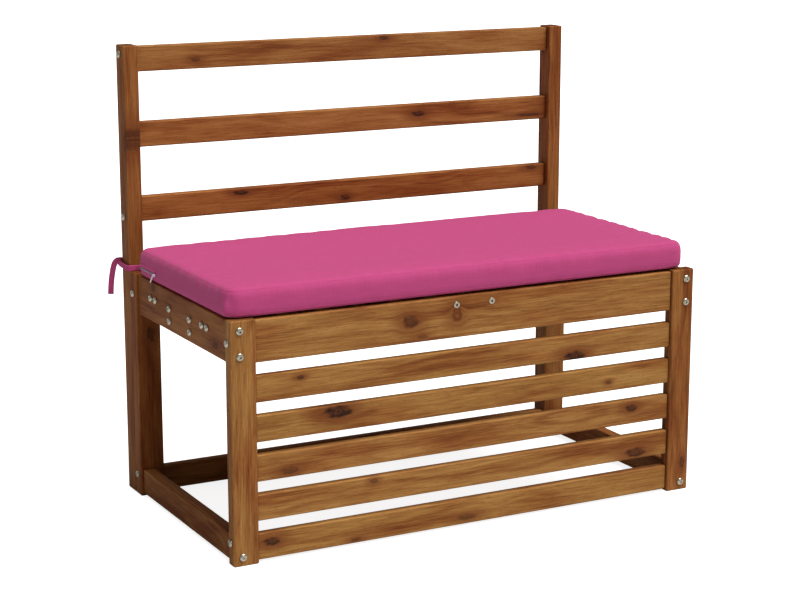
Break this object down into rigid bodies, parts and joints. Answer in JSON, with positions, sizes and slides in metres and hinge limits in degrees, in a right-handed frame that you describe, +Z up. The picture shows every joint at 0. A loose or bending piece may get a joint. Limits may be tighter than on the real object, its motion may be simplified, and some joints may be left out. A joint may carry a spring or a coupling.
{
  "type": "garden bench",
  "caption": "Slatted hardwood garden bench with a low railed back, a slatted front screen and a zipped box cushion tied to the back posts.",
  "frame": {"origin": "on the floor, in the middle of the bench's width and of its depth over the wood", "axes": "+X along the bench to the right as seen from in front, +Y to the back, +Z up"},
  "size_m": [1.0516, 0.5613, 0.9],
  "materials": {
    "wood": "oiled acacia, reddish brown, with visible grain and knots",
    "steel": "zinc plated, satin",
    "cushion_fabric": "plain woven polyester, pink, matt",
    "foam": "open cell foam",
    "zip_tape": "woven tape with fine nylon teeth, greyed lavender",
    "zip_metal": "bright plated"
  },
  "bodies": {
    "frame": {"back_post_left": "wood", "back_post_right": "wood", "back_rail_low": "wood", "back_rail_middle": "wood", "back_rail_top": "wood", "face_bolt_lower_left": "steel", "face_bolt_lower_right": "steel", "face_bolt_middle_left": "steel", "face_bolt_middle_right": "steel", "face_bolt_upper_left": "steel", "face_bolt_upper_right": "steel", "front_apron": "wood", "front_slat_1": "wood", "front_slat_2": "wood", "front_slat_3": "wood", "front_slat_4": "wood", "front_slat_5": "wood", "front_stile_left": "wood", "front_stile_right": "wood", "rear_apron": "wood", "rear_bottom_rail": "wood", "rear_stile_left": "wood", "rear_stile_right": "wood", "seat_bearer_1": "wood", "seat_bearer_2": "wood", "seat_bearer_3": "wood", "seat_bearer_4": "wood", "seat_bolt_left": "steel", "seat_bolt_right": "steel", "seat_slat_1": "wood", "seat_slat_10": "wood", "seat_slat_11": "wood", "seat_slat_12": "wood", "seat_slat_2": "wood", "seat_slat_3": "wood", "seat_slat_4": "wood", "seat_slat_5": "wood", "seat_slat_6": "wood", "seat_slat_7": "wood", "seat_slat_8": "wood", "seat_slat_9": "wood", "side_apron_left": "wood", "side_apron_right": "wood", "side_bolt_front_lower": "steel", "side_bolt_front_upper": "steel", "side_bolt_post_lower": "steel", "side_bolt_post_upper": "steel", "side_bolt_rear_lower": "steel", "side_bolt_rear_upper": "steel", "side_stretcher_left": "wood", "side_stretcher_right": "wood"},
    "cushion": {"cushion_cover": "cushion_fabric", "cushion_foam": "foam", "zip_tape": "zip_tape", "tie_left_back": "cushion_fabric", "tie_left_front": "cushion_fabric", "tie_right_back": "cushion_fabric", "tie_right_front": "cushion_fabric"},
    "zip_slider": {"zip_slider": "zip_metal"},
    "zip_pull": {"zip_pull": "zip_metal"}
  },
  "joints": [
    {"name": "cushion_lift", "type": "slide", "parent": "frame", "child": "cushion", "axis": [0, 0, 1], "range_m": [0, 0.46], "deforming": ["tie_left_back", "tie_left_front", "tie_right_back", "tie_right_front"]},
    {"name": "zip_run", "type": "slide", "parent": "cushion", "child": "zip_slider", "axis": [0, 1, 0], "range_m": [0, 0.085]},
    {"name": "zip_pull_swing", "type": "hinge", "parent": "zip_slider", "child": "zip_pull", "pos_m": [-0.5065, 0.08235, 0.4761], "axis": [1, 0, 0], "range_deg": [-100, 40]}
  ]
}
